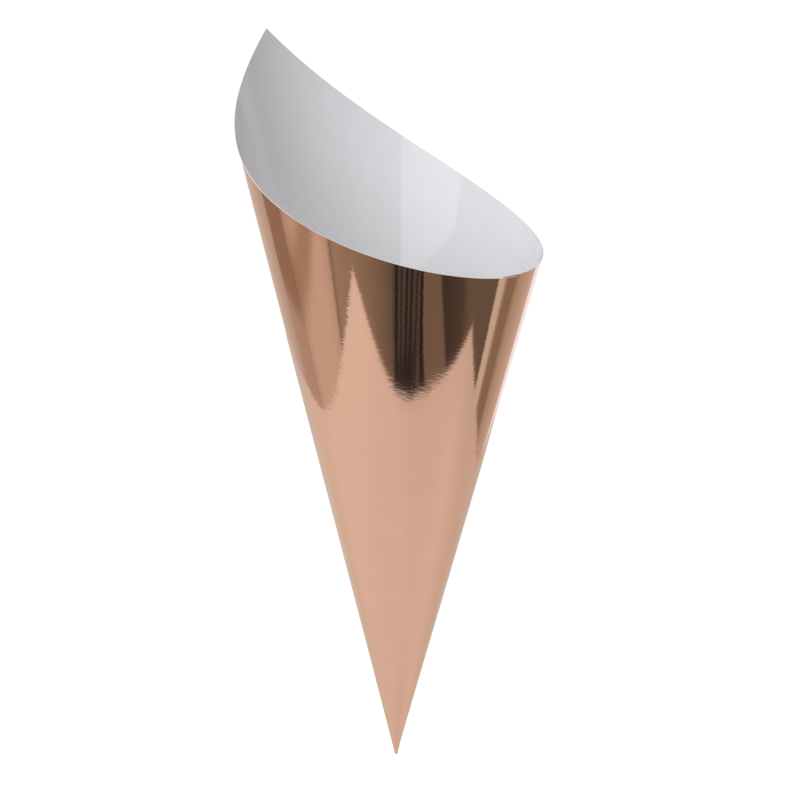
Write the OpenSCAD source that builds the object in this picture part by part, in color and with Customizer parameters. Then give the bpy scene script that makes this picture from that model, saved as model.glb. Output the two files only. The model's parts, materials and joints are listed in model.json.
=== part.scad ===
// Paper snack cone: one square sheet of foil-faced paper, rolled round a corner and glued along a narrow lap.
// The corner opposite the point stands up as the peak of the mouth.
// The cone lies on its side, tip towards -Y and mouth towards +Y, on the strip of wall that it settles on.

/* [Sheet] */
// Side of the square sheet before it is rolled
sheet_side = 165; // [120:1:220]
// Thickness of the foil-faced paper
caliper = 0.3; // [0.15:0.05:0.6]

/* [Roll] */
// Width of the glued lap where it meets the rim
lap_width = 5.5; // [3:0.5:12]
// How far the outer layer's edge sits below the inner layer's at the rim
rim_step = 0.3; // [0.1:0.05:1]
// How much longer the mouth is one way than the other, in percent
mouth_oval = 11; // [0:0.5:14]
// Turn of the mouth's long way from the peak, in degrees
oval_turn = 10.5; // [0:0.5:30]

/* [Point] */
// Slant length lost where the point is blunt
tip_blunt = 0.9; // [0.5:0.1:3]
// Slant length up to which the tight roll closes the point
tip_fill = 3.5; // [3.5:0.5:12]

/* [Hidden] */

// Equal steps round the single wall, and across the lap
wall_steps = 180;
lap_steps = 4;

function total(list) = list * [for (item = list) 1];
function unit(v) = v / norm(v);

// Half angle of the oval cone, and how fast it changes, at an azimuth counted from the peak
function oval_swing(mean) = mean * mouth_oval / (200 + mouth_oval);
function wall_angle(mean, az) = mean + oval_swing(mean) * cos(2 * (az - oval_turn));
function wall_change(mean, az) = -2 * oval_swing(mean) * sin(2 * (az - oval_turn)) * PI / 180;

// Flat angle of paper that is used up for each degree round the cone, and from the peak to an azimuth
function paper_rate(mean, az) = norm([sin(wall_angle(mean, az)), wall_change(mean, az)]);
function paper_to(mean, az) =
    total([for (i = [0:wall_steps - 1]) paper_rate(mean, (i + 0.5) / wall_steps * az)]) * az / wall_steps;

// Flat angles of the sheet: the corner that is rolled, what the lap takes of it, and what the turn has left
corner_angle = 90;
lap_angle = 2 * asin(lap_width / 2 / sheet_side);
turn_angle = corner_angle - lap_angle;

// Half angle of the round cone of that turn, then the mean one of the oval cone, which takes more paper round
round_half_angle = asin(turn_angle / 360);
half_angle = round_half_angle * turn_angle / paper_to(round_half_angle, 360);

// Stations along the sheet, from the lap's inner edge right round to its outer edge, by azimuth from the peak
lap_half = lap_angle / 2 / paper_rate(half_angle, 180);
last = wall_steps + 2 * lap_steps;
inner_end = last - lap_steps;
azimuth = [for (s = [0:last])
    s < lap_steps ? -180 + lap_half * (2 * s / lap_steps - 1)
    : s > inner_end ? 180 + lap_half * (2 * (s - inner_end) / lap_steps - 1)
    : (360 - 2 * lap_half) * ((s - lap_steps) / wall_steps - 0.5)];
flat_angle = [for (az = azimuth) paper_to(half_angle, az)];

// One turn climbs outwards by the paper's thickness, and slips down so that the outer edge sits lower
turns = [for (az = azimuth) (az - azimuth[0]) / 360];
slip = rim_step + sheet_side * (1 / cos(lap_angle) - 1);
rim_slant = [for (s = [0:last])
    sheet_side / cos(corner_angle / 2 - abs(flat_angle[s])) - slip * turns[s]];

// Direction up the wall, and out of its foil face, with the tip at the origin and the cone's axis on Z
along = [for (az = azimuth)
    let (a = wall_angle(half_angle, az))
    [sin(a) * sin(az), -sin(a) * cos(az), cos(a)]];
outward = [for (s = [0:last])
    let (az = azimuth[s], a = wall_angle(half_angle, az))
    let (round = [sin(a) * cos(az), sin(a) * sin(az), 0])
    let (opening = [cos(a) * sin(az), -cos(a) * cos(az), -sin(a)])
    unit(cross(round + wall_change(half_angle, az) * opening, along[s]))];

function foil_point(s, slant) = slant * along[s] + caliper * turns[s] * outward[s];
function lining_point(s, slant) = slant * along[s] + caliper * (turns[s] - 1) * outward[s];

// Corners of the solid: both faces at the rim, both faces where the point closes, and the point's two ends
rolled = concat(
    [for (s = [0:last]) foil_point(s, rim_slant[s])],
    [for (s = [0:last]) lining_point(s, rim_slant[s])],
    [for (s = [lap_steps:last]) foil_point(s, tip_blunt)],
    [for (s = [0:inner_end]) lining_point(s, tip_fill)],
    [[0, 0, tip_blunt / 2], [0, 0, tip_fill - caliper]]);

// Places of those corners in the list
function foil_rim(s) = s;
function lining_rim(s) = last + 1 + s;
function foil_tip(s) = 2 * (last + 1) + s - lap_steps;
function lining_tip(s) = foil_tip(last) + 1 + s;
point_out = lining_tip(inner_end) + 1;
point_in = point_out + 1;

// Two triangles for a patch with four corners
function patch(a, b, c, d) = [[a, c, b], [a, d, c]];

rim_band = [for (s = [0:last - 1])
    each patch(foil_rim(s), foil_rim(s + 1), lining_rim(s + 1), lining_rim(s))];
foil_face = [for (s = [lap_steps + 1:last - 1])
    each patch(foil_tip(s), foil_tip(s + 1), foil_rim(s + 1), foil_rim(s))];
lining_face = [for (s = [0:inner_end - 1])
    each patch(lining_rim(s), lining_rim(s + 1), lining_tip(s + 1), lining_tip(s))];
point_face = [for (s = [lap_steps:last - 1]) [foil_tip(s), foil_tip(s + 1), point_out]];
floor_face = [for (s = [0:inner_end - 1]) [lining_tip(s + 1), lining_tip(s), point_in]];

// Strip of the inner layer's foil that shows above the outer layer's edge
lap_strip = [for (s = [0:lap_steps - 1])
    each patch(lining_rim(inner_end + s), lining_rim(inner_end + s + 1), foil_rim(s + 1), foil_rim(s))];

// Outer cut edge of the sheet, with the strip of foil that it stands on and the end of the point
beside = lap_steps + 1;
outer_edge = concat(
    patch(foil_tip(last), foil_tip(lap_steps), lining_rim(last), foil_rim(last)),
    patch(foil_tip(lap_steps), foil_tip(beside), foil_rim(beside), lining_rim(last)),
    [[lining_rim(last), foil_rim(lap_steps), foil_rim(beside)]],
    [[foil_tip(last), foil_tip(lap_steps), point_out]]);

// Inner cut edge of the sheet, with the end of the closed floor
inner_edge = concat(
    patch(lining_tip(0), lining_tip(inner_end), lining_rim(inner_end), foil_rim(0)),
    [[lining_tip(0), lining_rim(0), foil_rim(0)]],
    [[lining_tip(0), lining_tip(inner_end), point_in]]);

// Centre of weight of the sheet, from thin triangles that run from the tip to the rim
slice = [for (s = [0:last - 1]) flat_angle[s + 1] - flat_angle[s]];
reach = [for (s = [0:last - 1]) (rim_slant[s] + rim_slant[s + 1]) / 2];
areas = [for (s = [0:last - 1]) slice[s] * pow(reach[s], 2) / 2];
moments = [for (s = [0:last - 1]) slice[s] * pow(reach[s], 3) / 3 * (along[s] + along[s + 1]) / 2];
weight_centre = [for (axis = [0:2]) total([for (m = moments) m[axis]])] / total(areas);

// Strip of wall on which that centre lies lowest
wall_strips = [for (s = [beside:inner_end - 1]) s];
function strip_normal(s) = unit(cross(
    rolled[foil_rim(s + 1)] - rolled[foil_rim(s)], rolled[foil_rim(s)] - rolled[foil_tip(s)]));
heights = [for (s = wall_strips) strip_normal(s) * (rolled[foil_rim(s)] - weight_centre)];
rest_strip = [for (i = [0:len(heights) - 1]) if (heights[i] == min(heights)) wall_strips[i]][0];

// Frame of the cone at rest: +Z off that strip, +Y up it, and the origin under the middle of the cone's box
rest_z = -strip_normal(rest_strip);
rest_y = unit(rolled[foil_rim(rest_strip)] - rolled[foil_tip(rest_strip)]);
rest_x = cross(rest_y, rest_z);
laid = [for (p = rolled) [p * rest_x, p * rest_y, p * rest_z]];
function low(axis) = min([for (p = laid) p[axis]]);
function high(axis) = max([for (p = laid) p[axis]]);
floor_centre = [(low(0) + high(0)) / 2, (low(1) + high(1)) / 2, low(2)];

module paper_cone() {
    color([0.84, 0.66, 0.57])
        polyhedron(
            points = [for (p = laid) p - floor_centre],
            faces = concat(rim_band, foil_face, lining_face, point_face, floor_face,
                lap_strip, outer_edge, inner_edge));
}

paper_cone();
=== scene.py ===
# %% [markdown]
# # A paper snack cone in rose gold foil
# The cone is one square of paper, mirror foil outside and glossy white inside, rolled round a corner.
# The imported part gives its size and place, and this lesson gives it a fine smooth sheet and its finishes.
# The imported box is kept at once.

# %% Load the imported part
import json
import math

import bpy
import numpy as np
from mathutils import Matrix, Vector


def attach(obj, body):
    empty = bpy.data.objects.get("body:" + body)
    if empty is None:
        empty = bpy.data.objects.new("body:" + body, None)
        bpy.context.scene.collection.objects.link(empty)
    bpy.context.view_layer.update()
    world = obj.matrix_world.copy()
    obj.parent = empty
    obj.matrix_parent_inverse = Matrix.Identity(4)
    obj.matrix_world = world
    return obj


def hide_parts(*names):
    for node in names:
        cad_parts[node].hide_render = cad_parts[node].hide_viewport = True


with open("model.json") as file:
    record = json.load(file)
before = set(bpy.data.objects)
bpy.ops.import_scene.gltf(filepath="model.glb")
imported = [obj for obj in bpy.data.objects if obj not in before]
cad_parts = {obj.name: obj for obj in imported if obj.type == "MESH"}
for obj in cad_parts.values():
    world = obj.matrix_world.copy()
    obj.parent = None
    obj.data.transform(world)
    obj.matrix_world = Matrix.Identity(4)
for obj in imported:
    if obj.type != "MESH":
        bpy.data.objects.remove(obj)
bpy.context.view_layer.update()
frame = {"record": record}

# %% [markdown]
# ## The sheet's measures
# A maker needs only the square's side, the paper's thickness and how the roll is glued.
# The half angle of the cone could be typed in, but it follows from the square: its 90 degree corner,
# less the lap, is wound up in one turn. The mouth is a little oval, so the wall leans more at some azimuths.
# Azimuths count round the cone's axis from the peak, and the glued lap lies opposite it.

# %% Work out the roll
MM = 0.001
SHEET_SIDE = 165 * MM
CALIPER = 0.3 * MM
LAP_WIDTH = 5.5 * MM
RIM_STEP = 0.3 * MM
MOUTH_OVAL = 0.11
OVAL_TURN = math.radians(10.5)
TIP_BLUNT = 0.9 * MM
CORNER_ANGLE = math.radians(90)
WINDING_SLICES = 180


def oval_swing(mean):
    """How far the half angle swings either side of its mean."""
    return mean * MOUTH_OVAL / (2 + MOUTH_OVAL)


def wall_angle(mean, azimuth):
    """Half angle of the oval cone at an azimuth."""
    return mean + oval_swing(mean) * np.cos(2 * (azimuth - OVAL_TURN))


def wall_change(mean, azimuth):
    """How fast that half angle changes round the cone."""
    return -2 * oval_swing(mean) * np.sin(2 * (azimuth - OVAL_TURN))


def paper_rate(mean, azimuth):
    """Flat angle of paper used up for each radian round the cone."""
    return np.hypot(np.sin(wall_angle(mean, azimuth)), wall_change(mean, azimuth))


def paper_to(mean, azimuth):
    """Flat angle of paper from the peak to an azimuth."""
    middles = (np.arange(WINDING_SLICES) + 0.5) / WINDING_SLICES
    azimuth = np.asarray(azimuth, float)
    return paper_rate(mean, middles * azimuth[..., None]).sum(-1) * azimuth / WINDING_SLICES


lap_angle = 2 * math.asin(LAP_WIDTH / 2 / SHEET_SIDE)
turn_angle = CORNER_ANGLE - lap_angle
round_half_angle = math.asin(turn_angle / math.tau)
half_angle = round_half_angle * turn_angle / float(paper_to(round_half_angle, math.tau))
lap_half = lap_angle / 2 / float(paper_rate(half_angle, math.pi))
last_azimuth = math.pi + lap_half
print(f"half angle {math.degrees(half_angle):.3f} degrees")
print(f"lap {math.degrees(2 * lap_half):.2f} degrees round the cone")

# %% [markdown]
# ## The blank
# The real blank is a flat square. A grid is the natural start, because its columns become the straight lines
# that run from the rolled corner to the rim, and paper bends only across those lines.
# The flat place of each point is kept as the UV map, so that the paper's grain later follows the sheet.

# %% Cut the blank from a grid
COLUMNS = 360
ROWS = 36

bpy.ops.object.select_all(action="DESELECT")
bpy.ops.mesh.primitive_grid_add(x_subdivisions=COLUMNS, y_subdivisions=ROWS, size=1)
cone = bpy.context.active_object
cone.name = "rolled_cone"
sheet = cone.data
sheet.name = "rolled_cone"

grid = np.empty(len(sheet.vertices) * 3)
sheet.vertices.foreach_get("co", grid)
across, upward = grid.reshape(-1, 3)[:, :2].T + 0.5
azimuth = last_azimuth * (2 * across - 1)
flat_angle = paper_to(half_angle, azimuth)
flat_rim = SHEET_SIDE / np.cos(CORNER_ANGLE / 2 - np.abs(flat_angle))

sheet_angle = CORNER_ANGLE / 2 + flat_angle
flat_slant = upward * flat_rim / SHEET_SIDE
flat_place = np.stack([flat_slant * np.cos(sheet_angle), flat_slant * np.sin(sheet_angle)], 1)
loop_point = np.empty(len(sheet.loops), np.int32)
sheet.loops.foreach_get("vertex_index", loop_point)
sheet.uv_layers.active.name = "sheet"
sheet.uv_layers.active.data.foreach_set("uv", flat_place[loop_point].astype(np.float32).ravel())
print("blank:", len(sheet.vertices), "points")
print("flat map from", flat_place.min(0).round(4), "to", flat_place.max(0).round(4))

# %% [markdown]
# ## The roll
# Rolling moves each point to its azimuth on the cone without stretching the paper.
# One turn climbs by a little more than the paper's thickness, so that the lap's two layers lie on each other
# with a hair of glue between them, and it slips down, so that the outer layer's corner sits lower at the rim.
# A simulation could wind the sheet, but this shape is exact, and the formula is the one that paper obeys.
# The grid's first row draws in to one point, and its second row to the small blunt end round it.

# %% Roll the blank round its corner
GLUE_FILM = 0.02 * MM

turns = (azimuth + last_azimuth) / math.tau
slip = RIM_STEP + SHEET_SIDE * (1 / math.cos(lap_angle) - 1)
slant = upward * (flat_rim - slip * turns)
slant[np.isclose(upward, 1 / ROWS)] = TIP_BLUNT


def wall_directions(at):
    """Directions up the wall and out of its foil face, with the tip at the origin and the axis on Z."""
    lean = wall_angle(half_angle, at)
    along = np.stack([np.sin(lean) * np.sin(at), -np.sin(lean) * np.cos(at), np.cos(lean)], -1)
    sideways = np.stack([np.sin(lean) * np.cos(at), np.sin(lean) * np.sin(at), 0 * at], -1)
    opening = np.stack([np.cos(lean) * np.sin(at), -np.cos(lean) * np.cos(at), -np.sin(lean)], -1)
    out = np.cross(sideways + wall_change(half_angle, at)[..., None] * opening, along)
    return along, out / np.linalg.norm(out, axis=-1, keepdims=True)


along, outward = wall_directions(azimuth)
climb = (CALIPER + GLUE_FILM) * turns
rolled = slant[:, None] * along + climb[:, None] * outward
rolled[upward < 0.5 / ROWS] = (0, 0, TIP_BLUNT / 2)
print(f"rolled: {slant.max():.4f} m from the tip to the peak")

# %% [markdown]
# ## At rest
# The cone can't stand on its point, so it lies on the strip of wall where its weight sits lowest.
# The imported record's holder ring says where the cone's axis points then,
# and the strip's face turns down to the floor.
# The origin goes under the middle of its box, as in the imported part.
# The rotate operator could turn the sheet by angles, but two sets of unit vectors say it plainly.

# %% Lay the cone on its strip
REST_AZIMUTH = math.radians(-22.57)
UP = np.array([0.0, 0.0, 1.0])


def square_axes(up, lead):
    """Three unit rows: the last is up, and the middle one is lead, made square to it."""
    lead = lead - lead.dot(up) * up
    lead = lead / np.linalg.norm(lead)
    return np.stack([np.cross(lead, up), lead, up])


holder_ring = frame["record"]["mounts"][0]
cone_axis = -Vector(holder_ring["axis"]).normalized()
strip_out = wall_directions(np.array([REST_AZIMUTH]))[1][0]
rest_axes = square_axes(UP, np.array(cone_axis)).T @ square_axes(-strip_out, UP)
laid = rolled @ rest_axes.T
low = laid.min(0)
high = laid.max(0)
floor_centre = np.array([(low[0] + high[0]) / 2, (low[1] + high[1]) / 2, low[2]])
laid -= floor_centre
sheet.vertices.foreach_set("co", laid.astype(np.float32).ravel())
sheet.update()
tip = Vector(-floor_centre)
print("laid box:", laid.min(0).round(5), laid.max(0).round(5), "tip:", [round(c, 5) for c in tip])

# %% [markdown]
# ## The point
# All the columns meet in one point at the tip, so their doubles are merged there, which closes the fan.
# The merge distance is far below the step between two columns, so nothing else on the sheet joins.
# Faces have to look outwards before the sheet gets its thickness,
# so one face is asked, and all are flipped if need be.

# %% Close the point
MERGE_DISTANCE = 1e-7

bpy.ops.object.mode_set(mode="EDIT")
bpy.ops.mesh.select_all(action="SELECT")
bpy.ops.mesh.remove_doubles(threshold=MERGE_DISTANCE)
bpy.ops.object.mode_set(mode="OBJECT")
asked = sheet.polygons[len(sheet.polygons) // 2]
from_tip = asked.center - tip
looks_out = asked.normal.dot(from_tip - cone_axis * from_tip.dot(cone_axis)) > 0
if not looks_out:
    bpy.ops.object.mode_set(mode="EDIT")
    bpy.ops.mesh.select_all(action="SELECT")
    bpy.ops.mesh.flip_normals()
    bpy.ops.object.mode_set(mode="OBJECT")
print("closed point:", len(sheet.vertices), "points,", len(sheet.polygons), "faces, looked out:", looks_out)

# %% [markdown]
# ## Shader maths
# The finishes are node trees, and a tree is easier to read as sums than as a list of links.
# This small class wraps a socket: arithmetic on it adds Math nodes,
# and one method adds every other kind of node.

# %% Wrap a socket
class Wire:
    """An output socket in a node tree, or the bare tree where socket is None."""

    def __init__(self, tree, socket=None):
        self.tree = tree
        self.socket = socket

    def node(self, kind, inputs=None, out=0, stops=None, **settings):
        """Adds a node: its settings and ramp stops first, then the values or wires of its inputs."""
        made = self.tree.nodes.new(kind)
        for name, value in settings.items():
            setattr(made, name, value)
        if stops:
            ramp = made.color_ramp.elements
            ramp.remove(ramp[1])
            for place, colour in stops:
                stop = ramp.new(place) if place else ramp[0]
                stop.color = (*colour, 1)
        for key, value in (inputs or {}).items():
            if isinstance(value, Wire):
                self.tree.links.new(value.socket, made.inputs[key])
            else:
                made.inputs[key].default_value = value
        return Wire(self.tree, made.outputs[out] if made.outputs else None)

    def maths(self, operation, *values):
        """A Math node on these values or wires."""
        return self.node("ShaderNodeMath", dict(enumerate(values)), operation=operation)

    def __add__(self, other):
        return self.maths("ADD", self, other)

    def __sub__(self, other):
        return self.maths("SUBTRACT", self, other)

    def __mul__(self, other):
        return self.maths("MULTIPLY", self, other)

    def __truediv__(self, other):
        return self.maths("DIVIDE", self, other)

    def __radd__(self, other):
        return self.maths("ADD", other, self)

    def __rsub__(self, other):
        return self.maths("SUBTRACT", other, self)

    def __rmul__(self, other):
        return self.maths("MULTIPLY", other, self)

    def fade(self, start, end):
        """A smooth step from 0 at start to 1 at end."""
        ends = {"From Min": start, "From Max": end}
        return self.node("ShaderNodeMapRange", {"Value": self, **ends}, interpolation_type="SMOOTHSTEP")


def blend(factor, first, second, way="MIX"):
    """A colour mix of two colours or wires by a wire."""
    inputs = {0: factor, 6: first, 7: second}
    return factor.node("ShaderNodeMix", inputs, out=2, data_type="RGBA", blend_type=way)


def new_finish(name):
    """A material with an empty Principled shader: its bare tree, its shader node and itself."""
    material = bpy.data.materials.new(name)
    material.use_nodes = True
    return Wire(material.node_tree), material.node_tree.nodes["Principled BSDF"], material


def feed(shader, **values):
    """Sets the shader's sockets, with _ for a space in a socket's name, from values or wires."""
    for name, value in values.items():
        socket = shader.inputs[name.replace("_", " ")]
        if isinstance(value, Wire):
            value.tree.links.new(value.socket, socket)
        else:
            socket.default_value = value


print("socket wrapper ready")

# %% [markdown]
# ## The rose gold foil
# The outside is a copper-pink metal film on paper. It mirrors the room, but the paper's fibres show
# through it: the edges of reflections are finely frayed, and the sheet is never perfectly even.
# A flat metal would look like plastic chrome, so the finish has hair-like grain in its relief, a slight
# sideways tilt from hair to hair, a slow waviness and a faint mottle.
# The grain is drawn on the flat sheet's own map, so it turns with the paper as the sheet winds round.

# %% Make the foil
FOIL_LIGHT = (0.835, 0.490, 0.352, 1)
FOIL_DEEP = (0.800, 0.464, 0.330, 1)
FOIL_ROUGH = 0.028
FOIL_ROUGH_MORE = 0.008
HAIR_LENGTH = 3.0 * MM
HAIR_WIDTH = 0.38 * MM
HAIR_DEPTH = 0.0006 * MM
HAIR_TILT = 0.015
SWAY_LENGTH = 0.8 * HAIR_LENGTH
SWAY_WIDTH = 1.1 * HAIR_WIDTH
WAVE_LENGTH = 9 * MM
WAVE_DEPTH = 0.002 * MM
MOTTLE_LENGTH = 14 * MM
MOTTLE_WIDTH = 5 * MM
NOISE_MIDDLE = 0.5
NO_TILT = 0.5


def sheet_noise(bare, along_sheet, across_sheet, detail):
    """Noise on the flat sheet with cells of this length and width."""
    place = bare.node("ShaderNodeTexCoord", out="UV")
    cells = (SHEET_SIDE / along_sheet, SHEET_SIDE / across_sheet, 1)
    scaled = bare.node("ShaderNodeMapping", {"Vector": place, "Scale": cells})
    inputs = {"Vector": scaled, "Scale": 1, "Detail": detail}
    return bare.node("ShaderNodeTexNoise", inputs, noise_dimensions="2D")


def bumped(height, **under):
    """The normal of a relief whose height is in metres, over the wire given as Normal, if there is one."""
    return height.node("ShaderNodeBump", {"Height": height, "Distance": 1.0, "Strength": 1.0, **under})


bare, shader, foil = new_finish("rose_gold_foil")
hair = sheet_noise(bare, HAIR_LENGTH, HAIR_WIDTH, 0)
sway = sheet_noise(bare, SWAY_LENGTH, SWAY_WIDTH, 0)
wave = sheet_noise(bare, WAVE_LENGTH, WAVE_LENGTH, 1)
mottle = sheet_noise(bare, MOTTLE_LENGTH, MOTTLE_WIDTH, 3)
sideways = NO_TILT + HAIR_TILT / 2 * (sway - NOISE_MIDDLE)
tilt_colour = bare.node("ShaderNodeCombineColor", {0: sideways, 1: NO_TILT, 2: 1})
tilted = bare.node("ShaderNodeNormalMap", {"Color": tilt_colour}, uv_map="sheet")
feed(
    shader,
    Base_Color=blend(mottle, FOIL_DEEP, FOIL_LIGHT),
    Metallic=1,
    Roughness=FOIL_ROUGH + FOIL_ROUGH_MORE * mottle,
    Normal=bumped(hair * HAIR_DEPTH + wave * WAVE_DEPTH, Normal=tilted),
)
print("finish:", foil.name)

# %% [markdown]
# ## The white lining
# The inside is coated white paper: nearly white, with a gloss that shows a lamp as a pale panel
# with clear edges. Plain white paint would miss the coating, so the gloss is its own layer over the white:
# a fine tooth breaks it up a little, and the white itself is very faintly cloudy.

# %% Make the lining
LINING_LIGHT = (0.86, 0.86, 0.865, 1)
LINING_DEEP = (0.82, 0.82, 0.826, 1)
LINING_ROUGH = 0.045
LINING_ROUGH_MORE = 0.02
LINING_GLOSS = 0.75
TOOTH_LENGTH = 0.9 * MM
TOOTH_WIDTH = 0.5 * MM
TOOTH_DEPTH = 0.0010 * MM
CLOUD_SIZE = 6 * MM

bare, shader, lining = new_finish("white_lining")
tooth = sheet_noise(bare, TOOTH_LENGTH, TOOTH_WIDTH, 2)
cloud = sheet_noise(bare, CLOUD_SIZE, CLOUD_SIZE, 3)
feed(
    shader,
    Base_Color=blend(cloud, LINING_DEEP, LINING_LIGHT),
    Roughness=LINING_ROUGH + LINING_ROUGH_MORE * cloud,
    Specular_IOR_Level=LINING_GLOSS,
    Normal=bumped(tooth * TOOTH_DEPTH),
)
print("finish:", lining.name)

# %% [markdown]
# ## The cut edge
# Round the rim and down the lap the knife shows the paper's core: dull white fibre between foil and lining.
# It is only a third of a millimetre wide, so a rough white with short fibres is all that can be seen of it.
# The edge has no place on the flat sheet's map, so this noise is drawn in the object's own space.

# %% Make the cut edge
CORE_LIGHT = (0.84, 0.79, 0.75, 1)
CORE_DEEP = (0.66, 0.61, 0.57, 1)
CORE_ROUGH = 0.8
CORE_ROUGH_MORE = 0.15
CORE_FIBRE = 0.35 * MM
CORE_DEPTH = 0.02 * MM

bare, shader, core = new_finish("paper_core")
place = bare.node("ShaderNodeTexCoord", out="Object")
fibre = bare.node("ShaderNodeTexNoise", {"Vector": place, "Scale": 1 / CORE_FIBRE, "Detail": 3})
feed(
    shader,
    Base_Color=blend(fibre, CORE_DEEP, CORE_LIGHT),
    Roughness=CORE_ROUGH + CORE_ROUGH_MORE * fibre,
    Normal=bumped(fibre * CORE_DEPTH),
)
print("finish:", core.name)

# %% [markdown]
# ## The paper's thickness
# Solidify gives the sheet its thickness inwards, and hands the inside and the cut edge their own finishes.
# Extruding by hand would do the same, but Solidify keeps the thickness even round the bend.
# Near the tip the roll is tighter than the paper is thick, so a vertex group thins the wall there.

# %% Give the sheet its thickness
TIP_SHARE = 0.8
SMOOTH_ANGLE = math.radians(30)

for finish in (foil, lining, core):
    sheet.materials.append(finish)
paper_room = cone.vertex_groups.new(name="paper_room")
for point in sheet.vertices:
    from_axis = (point.co - tip).length * math.sin(half_angle)
    paper_room.add([point.index], min(1.0, TIP_SHARE * from_axis / CALIPER), "REPLACE")

paper = cone.modifiers.new("paper", "SOLIDIFY")
paper.thickness = CALIPER
paper.offset = -1
paper.use_even_offset = True
paper.vertex_group = paper_room.name
paper.material_offset = 1
paper.material_offset_rim = 2
bpy.ops.object.modifier_apply(modifier=paper.name)
bpy.ops.object.shade_smooth_by_angle(angle=SMOOTH_ANGLE)
print("sheet with thickness:", len(sheet.polygons), "faces")

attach(cone, "root")
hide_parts("paper_cone")

# %% [markdown]
# ## The table
# A foil pack is usually shot on a lit white table, which keeps its ground white and its shadow faint.
# The table here is a plain pale plane with a little light of its own. Only the camera needs it: the foil
# doesn't mirror it and it throws no light into the cone, because the studio on the sky, in the next steps,
# holds all that the foil and the lining see, and can be set by direction alone.

# %% Lay the table
TABLE_SIZE = 8
TABLE_WHITE = (0.92, 0.92, 0.92, 1)
TABLE_GLOW = 0.80
PURE_WHITE = (1, 1, 1, 1)

bpy.ops.object.select_all(action="DESELECT")
bpy.ops.mesh.primitive_plane_add(size=TABLE_SIZE)
table = bpy.context.active_object
table.name = "table"
bare, shader, pale = new_finish("pale_table")
feed(
    shader,
    Base_Color=TABLE_WHITE,
    Roughness=0.9,
    Specular_IOR_Level=0.1,
    Emission_Color=PURE_WHITE,
    Emission_Strength=TABLE_GLOW,
)
table.data.materials.append(pale)
table.visible_glossy = False
table.visible_diffuse = False
print("table:", TABLE_SIZE, "m square")

# %% [markdown]
# ## The studio
# A mirror shows its surroundings, so the studio is laid out for the foil. Past the tip stands a white card
# with a round top, and round it hang cloths from linen to black: the foil's lower half mirrors the card and
# turns bright rose, and its upper half mirrors the cloths as brown and black bands over a scalloped edge.
# Real cards could do this, but they would stand in the way of other views, so they are drawn on the sky.
# Directions are told by two numbers: the turn about the cone's axis, and the place on a plane past the tip.
# Dividing by how far a direction points ahead gives that place, and a least value keeps it finite.

# %% Tell the sky's directions apart
LEAST_AHEAD = 0.05

studio = bpy.data.worlds.new("studio")
bpy.context.scene.world = studio
studio.use_nodes = True
sky = Wire(studio.node_tree)
heading = sky.node("ShaderNodeTexCoord", out="Generated")


def towards(direction):
    """How far the sky's direction points along this one."""
    inputs = {0: heading, 1: tuple(direction)}
    return sky.node("ShaderNodeVectorMath", inputs, out="Value", operation="DOT_PRODUCT")


def grey(tone):
    """A colour with the same tone in all its channels."""
    return sky.node("ShaderNodeCombineColor", {0: tone, 1: tone, 2: tone})


above = (Vector((0, 0, 1)) - cone_axis * cone_axis.z).normalized()
beside = cone_axis.cross(above)
ahead = sky.maths("MAXIMUM", towards(-cone_axis), LEAST_AHEAD)
card_x = towards(beside) / ahead
card_y = towards(above) / ahead
turn = sky.maths("ARCTAN2", card_x, card_y) * math.degrees(1)
reach = sky.maths("SQRT", card_x * card_x + card_y * card_y)
print("directions: up the picture is", [round(c, 3) for c in above])

# %% [markdown]
# ## The card
# The card's edges are three curves on the plane past the tip: a round top, a hollow left side
# and a leaning right side. A picture of a card could be used, but three short sums give clean edges
# that can be moved one at a time. What is inside all three is card.

# %% Cut the card
CARD_TOP = 1.180
CARD_MIDDLE = 0.125
CARD_ARCH = 0.2917
ARCH_SKEW = 0.037
ARCH_FLARE = 0.0245
CARD_LEFT = -1.537
CARD_HOLLOW = 0.140
HOLLOW_SKEW = 0.0025
HOLLOW_MIDDLE = -0.274
CARD_RIGHT = 1.671
CARD_LEAN = 0.374
CARD_BULGE = 0.247
CARD_CURL = 0.069

from_middle = card_x - CARD_MIDDLE
from_hollow = card_y - HOLLOW_MIDDLE
arch = CARD_ARCH - from_middle * (ARCH_SKEW + ARCH_FLARE * from_middle)
below_top = CARD_TOP - arch * from_middle * from_middle - card_y
hollow = (CARD_HOLLOW + HOLLOW_SKEW * from_hollow) * from_hollow * from_hollow
from_left = card_x - CARD_LEFT - hollow
from_right = CARD_RIGHT - card_y * (CARD_LEAN + card_y * (CARD_BULGE + CARD_CURL * card_y)) - card_x
inside = sky.maths("MINIMUM", below_top, sky.maths("MINIMUM", from_left, from_right))
print("card: top at", CARD_TOP, "sides at", CARD_LEFT, "and", CARD_RIGHT)

# %% [markdown]
# ## The card's light
# No card is lit evenly. This one is brightest along its left edge, and loses some light straight ahead of the
# tip, towards its right side, its top and its foot, and most in its upper right corner.
# Each loss is a share of the light and two places between which it fades in.
# The card is slightly cool, and turns warmer to the right and at its foot.

# %% Light the card
CARD_WHITE = 0.85
LEFT_LOSS = 0.055
LEFT_FADE = (-1.4, -0.95)
RIGHT_LOSS = 0.135
RIGHT_FADE = (0.85, 1.75)
TOP_LOSS = 0.06
TOP_FADE = (0.85, 1.15)
CENTRE_LOSS = 0.05
CENTRE_FADE = (0.84, 0.96)
FOOT_LOSS = 0.05
FOOT_FADE = (-1.5, -0.7)
FAR_FOOT_LOSS = 0.12
FAR_FOOT_FADE = (-3.2, -1.8)
CORNER_LOSS = 0.16
CORNER_FADE = (1.65, 2.15)
CARD_GREEN = 1.02
CARD_BLUE = 1.025
WARM_GREEN = 0.03
WARM_BLUE = 0.09
WARM_FADE = (0.8, 1.6)
FOOT_BLUE = 0.05

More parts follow.
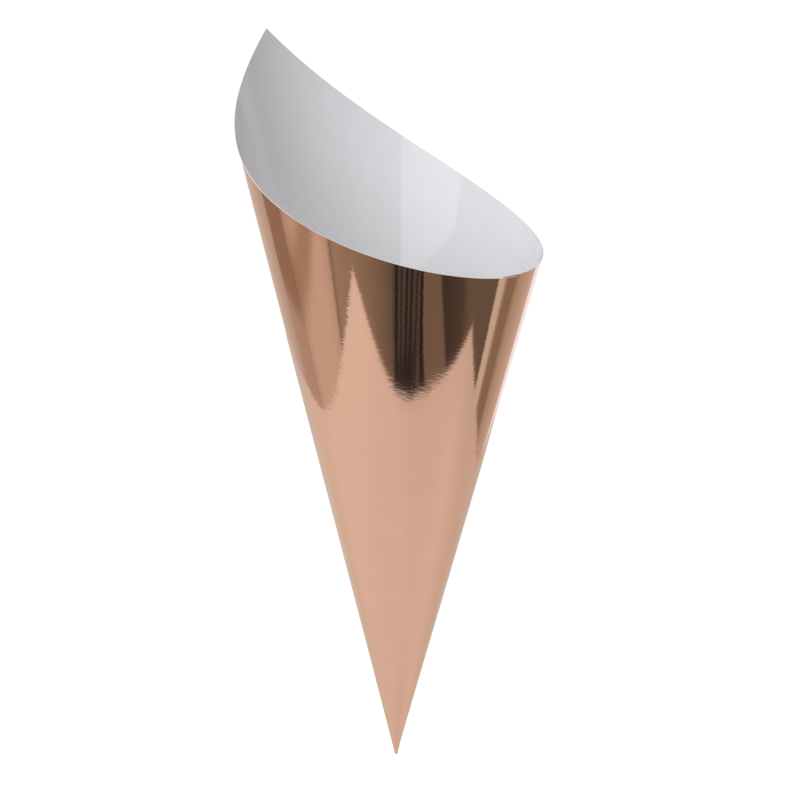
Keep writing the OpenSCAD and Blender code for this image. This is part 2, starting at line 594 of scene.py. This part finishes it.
at_foot = 1 - card_y.fade(*FOOT_FADE)
warmer = card_x.fade(*WARM_FADE)
sides_loss = LEFT_LOSS * card_x.fade(*LEFT_FADE) + RIGHT_LOSS * card_x.fade(*RIGHT_FADE)
ends_loss = TOP_LOSS * card_y.fade(*TOP_FADE) + CENTRE_LOSS * (1 - reach.fade(*CENTRE_FADE))
low_loss = FOOT_LOSS * at_foot + FAR_FOOT_LOSS * (1 - card_y.fade(*FAR_FOOT_FADE))
corner_loss = CORNER_LOSS * (card_x + card_y).fade(*CORNER_FADE)
card = CARD_WHITE * (1 - sides_loss - ends_loss - low_loss - corner_loss)
card_green = card * (CARD_GREEN - WARM_GREEN * warmer)
card_blue = card * (CARD_BLUE - WARM_BLUE * warmer - FOOT_BLUE * at_foot)
card_colour = sky.node("ShaderNodeCombineColor", {0: card, 1: card_green, 2: card_blue})
print("card: white", CARD_WHITE)

# %% [markdown]
# ## The cloths
# Each cloth has a name and a colour, and the list says at which turns about the axis it hangs. Two stops
# close together are a clear border, and two far apart shade from one cloth into the next.
# One ramp round the axis holds them all, where a node for each cloth would be a long chain.
# The middle ones lean, so that their borders stand upright in the foil.

# %% Hang the cloths
CLOTHS = {
    "black": (0.028, 0.030, 0.032),
    "slate": (0.08, 0.09, 0.09),
    "soot": (0.06, 0.056, 0.052),
    "umber": (0.09, 0.082, 0.07),
    "coffee": (0.155, 0.143, 0.118),
    "brown": (0.195, 0.18, 0.14),
    "walnut": (0.28, 0.25, 0.20),
    "hazel": (0.38, 0.355, 0.31),
    "fawn": (0.45, 0.41, 0.35),
    "tan": (0.50, 0.455, 0.395),
    "sand": (0.56, 0.53, 0.47),
    "linen": (0.645, 0.625, 0.58),
    "silver": (0.65, 0.69, 0.66),
    "white": (1.04, 1.12, 1.18),
}
# Turn about the axis in degrees, and the cloth that hangs there
HANGINGS = [
    (-180, "linen"), (-168, "linen"), (-150.5, "sand"), (-149, "tan"), (-131.5, "tan"), (-130.3, "fawn"),
    (-129, "sand"), (-121, "linen"), (-99, "linen"), (-92, "sand"), (-90, "walnut"), (-87, "hazel"),
    (-61, "walnut"), (-41, "coffee"), (-39.5, "slate"), (-24, "slate"), (-20, "umber"), (-15.5, "umber"),
    (-12.5, "brown"), (4, "brown"), (5.5, "soot"), (36, "umber"), (52, "coffee"), (66, "coffee"),
    (67.5, "silver"), (74.5, "silver"), (77, "hazel"), (80, "walnut"), (90, "walnut"), (100, "tan"),
    (127, "linen"), (129, "white"),
]
CLOTH_LEAN = 210
LEAN_FROM = 1.31
LEAN_RISE = (-25, 30)
LEAN_FALL = (30, 60)

leaning = turn.fade(*LEAN_RISE) * (1 - turn.fade(*LEAN_FALL))
hung_at = turn - CLOTH_LEAN * leaning * (LEAN_FROM - reach)
stops = [(degrees / 360 + 0.5, CLOTHS[name]) for degrees, name in HANGINGS]
cloth = sky.node("ShaderNodeValToRGB", {"Fac": hung_at / 360 + 0.5}, stops=stops)
print("cloths:", len(CLOTHS), "hung in", len(HANGINGS), "places")

# %% [markdown]
# ## Painted shade in the pleated cloth
# The slate cloth in the middle is pleated in narrow folds. The shade in each fold is painted on it as a thin
# black line, which the foil shows.
# More stops in the ramp could draw them, but it holds no more, so a wave draws them, and a second,
# slower wave makes them uneven. At the hem the painted shade runs together into black.

# %% Paint the shade in the folds
PLEAT_FIRST = -37.0
PLEAT_PITCH = 4.55
SLOW_SHARE = 0.5
SLOW_PITCH = 2.5
FOLD_FADE = (-0.2, 0.7)
HEM_SHADE = 0.95
HEM_FADE = (1.20, 1.27)
HEM_END = (-22, -16)
PLEATS_START = (-39.5, -38.7)
PLEATS_END = (-12.9, -12.1)

# Painted shade: black lines in the folds of the cloth, which run together into black at the hem.
from_first = math.tau / PLEAT_PITCH * (hung_at - PLEAT_FIRST)
slow_wave = sky.maths("COSINE", from_first / SLOW_PITCH)
fold_shade = sky.maths("COSINE", from_first) + SLOW_SHARE * slow_wave
hem_shade = HEM_SHADE * (1 - reach.fade(*HEM_FADE)) * (1 - hung_at.fade(*HEM_END))
pleat_shade = sky.maths("MAXIMUM", fold_shade.fade(*FOLD_FADE), hem_shade)
pleated = hung_at.fade(*PLEATS_START) * (1 - hung_at.fade(*PLEATS_END))
cloth = blend(pleat_shade * pleated, cloth, (*CLOTHS["black"], 1))
print("pleats: one in", PLEAT_PITCH, "degrees")

# %% [markdown]
# ## The shade
# The left cloths are in shade beyond a slanting line, which the foil shows as its darker stripe,
# and part of the light comes back further out. It multiplies the cloths, so their own borders stay in view.

# %% Shade the left cloths
SHADE = (0.68, 0.60, 0.53, 1)
SHADE_LEFT = -1.91
SHADE_SLOPE = 0.254
SHADE_FADE = (-0.09, 0.03)
SHADE_TURN = (-150.5, -148.5)
BREAK_SHARE = 0.75
BREAK_FADE = (-0.26, -0.14)
BREAK_TURN = (-132, -130)

to_shade = card_x + SHADE_SLOPE * card_y - SHADE_LEFT
past_shade = BREAK_SHARE * (1 - to_shade.fade(*BREAK_FADE)) * turn.fade(*BREAK_TURN)
shaded = (1 - to_shade.fade(*SHADE_FADE)) * (1 - past_shade) * turn.fade(*SHADE_TURN)
cloth = blend(shaded, cloth, SHADE, "MULTIPLY")
print("shade: from", SHADE_LEFT)

# %% [markdown]
# ## Cloths round the card
# Cloth shows wherever the card doesn't. At the lower right the card ends at a slanting line, and the white
# cloth beyond it gives the foil its pale right edge. On the left and above, the cloths end some way off.
# Inside a ring round the axis they show through the card, so that the foil still has bands
# when it is seen from the mouth's side.

# %% Fit the cloths round the card
EDGE_SOFT = 0.005
CLOTH_FADE = (-3.5, -3.0)
CLOTH_TURN = (100, 120)
CORNER_RIGHT = 2.91
CORNER_LEAN = 0.414
CORNER_SOFT = 0.1
CORNER_START = (110, 120)
CORNER_END = (160, 162)
GAP_SHARE = 0.85
GAP_FADE = (0.62, 0.80)

from_corner = CORNER_RIGHT + CORNER_LEAN * card_y - card_x
past_corner = 1 - from_corner.fade(-CORNER_SOFT, CORNER_SOFT)
past_corner = past_corner * turn.fade(*CORNER_START) * (1 - turn.fade(*CORNER_END))
off_card = sky.maths("MAXIMUM", 1 - inside.fade(-EDGE_SOFT, EDGE_SOFT), past_corner)
near_card = sky.maths("MAXIMUM", inside.fade(*CLOTH_FADE), turn.fade(*CLOTH_TURN))
through_gap = GAP_SHARE * (1 - reach.fade(*GAP_FADE))
is_cloth = sky.maths("MAXIMUM", off_card * near_card, through_gap)
mirrored = blend(is_cloth, card_colour, cloth)
print("studio: cloths fitted round the card")

# %% [markdown]
# ## The lamp
# One wide soft lamp stands to the left and lights the lining from that side, so the inside darkens
# towards the peak. A sun or a point lamp would give hard edges inside the cone.
# Mirrors don't see this lamp, because its image would burn out in the foil from the tip's side:
# a dimmer panel is drawn in its place on the sky in the next step.

# %% Hang the lamp
LAMP_AIM = Vector((0, 0.04, 0.03))
LAMP_HEADING = math.radians(-75)
LAMP_HEIGHT = math.radians(42.4)
LAMP_DISTANCE = 0.9
LAMP_TALL = 0.60
LAMP_WIDE = 0.8
LAMP_LIGHT = 3.37
LAMP_COLOUR = (0.965, 0.968, 1.03)

lamp_way = Vector((
    math.sin(LAMP_HEADING) * math.cos(LAMP_HEIGHT),
    math.cos(LAMP_HEADING) * math.cos(LAMP_HEIGHT),
    math.sin(LAMP_HEIGHT),
))
bpy.ops.object.light_add(type="AREA", location=LAMP_AIM + LAMP_DISTANCE * lamp_way)
lamp = bpy.context.active_object
lamp.name = "lamp"
lamp.rotation_euler = (-lamp_way).to_track_quat("-Z", "Y").to_euler()
lamp.data.shape = "RECTANGLE"
lamp.data.size = LAMP_WIDE
lamp.data.size_y = LAMP_TALL
lamp.data.color = LAMP_COLOUR
lamp.data.energy = LAMP_LIGHT * math.pi * LAMP_WIDE * LAMP_TALL
lamp.visible_glossy = False
print("lamp at", tuple(round(c, 3) for c in lamp.location), "power", round(lamp.data.energy, 2))

# %% [markdown]
# ## The wall and the panel
# The lining's gloss, and the foil seen from the tip's end, mirror the directions on the mouth's side.
# A plain grey wall, paler towards the floor, fills them, and the lamp's pale panel lies on it:
# the lining shows it as a bright stripe with clear edges down its back wall.
# The panel is measured along the lamp's own axes, so it moves with the lamp.

# %% Paint the wall and the panel
WALL_TONE = 0.33
WALL_FOOT = 0.5
WALL_FADE = (-0.3, 0.0)
WALL_SIDE = (-0.12, -0.02)
PANEL_COLOUR = (1.28, 1.285, 1.34, 1)
PANEL_LEFT = (-0.45, -0.43)
PANEL_RIGHT = (0.43, 0.45)
PANEL_FOOT = (-0.40, -0.386)
PANEL_HEAD = (0.345, 0.359)
PANEL_SIDE = (0.0, 0.1)

wall = WALL_TONE + WALL_FOOT * (1 - towards(above).fade(*WALL_FADE))
mirrored = blend(towards(cone_axis).fade(*WALL_SIDE), mirrored, grey(wall))
lamp_axes = lamp.rotation_euler.to_matrix().col
facing_lamp = sky.maths("MAXIMUM", towards(lamp_way), LEAST_AHEAD)
panel_x = towards(lamp_axes[0]) / facing_lamp
panel_y = towards(lamp_axes[1]) / facing_lamp
in_width = panel_x.fade(*PANEL_LEFT) * (1 - panel_x.fade(*PANEL_RIGHT))
in_height = panel_y.fade(*PANEL_FOOT) * (1 - panel_y.fade(*PANEL_HEAD))
in_panel = in_width * in_height * towards(lamp_way).fade(*PANEL_SIDE)
mirrored = blend(in_panel, mirrored, PANEL_COLOUR)
print("wall", WALL_TONE, "panel", PANEL_COLOUR[:3])

# %% [markdown]
# ## Light from the sky
# Only mirrors need the studio. The camera sees plain white, and everything else gets a soft light that is
# strongest from the mouth's side and hardly there from the tip's, which shades the inside of the cone.
# One even sky would be simpler, but it would light the inside flat. The Light Path node tells the rays apart.

# %% Light the sky
MOUTH_LIGHT = 1.06
ROOM_DIM = 0.04

room = sky.maths("MAXIMUM", MOUTH_LIGHT * towards(cone_axis), ROOM_DIM)
to_mirror = sky.node("ShaderNodeLightPath", out="Is Glossy Ray")
to_camera = sky.node("ShaderNodeLightPath", out="Is Camera Ray")
sky_light = blend(to_camera, blend(to_mirror, grey(room), mirrored), PURE_WHITE)
feed(studio.node_tree.nodes["Background"], Color=sky_light, Strength=1)
print("sky: light from the mouth's side", MOUTH_LIGHT, "least", ROOM_DIM)

# %% [markdown]
# ## The camera
# The camera looks down on the lying cone, a little from its left, so that the tip points down the picture.
# Its place and lens were found by fitting the sheet's rim, its sides and the lap to the picture's outline.
# A constraint could aim it, but a place, a look and an up direction pin it exactly.

# %% Place the camera
CAMERA_PLACE = Vector((-0.1945, -0.0072, 0.6187))
CAMERA_LOOK = Vector((0.31512, 0.00548, -0.94904)).normalized()
CAMERA_UP = Vector((0.07968, 0.99630, 0.03221)).normalized()
CAMERA_LENS = 91.65
SENSOR_WIDTH = 36
NEAREST = 0.01

right = CAMERA_LOOK.cross(CAMERA_UP).normalized()
turned = Matrix((right, right.cross(CAMERA_LOOK), -CAMERA_LOOK)).transposed()
bpy.ops.object.camera_add(location=CAMERA_PLACE, rotation=turned.to_euler())
camera = bpy.context.active_object
camera.data.lens = CAMERA_LENS
camera.data.sensor_width = SENSOR_WIDTH
camera.data.clip_start = NEAREST
bpy.context.scene.camera = camera
bpy.context.scene.view_settings.view_transform = "Standard"
print("camera at", tuple(round(c, 3) for c in camera.location))
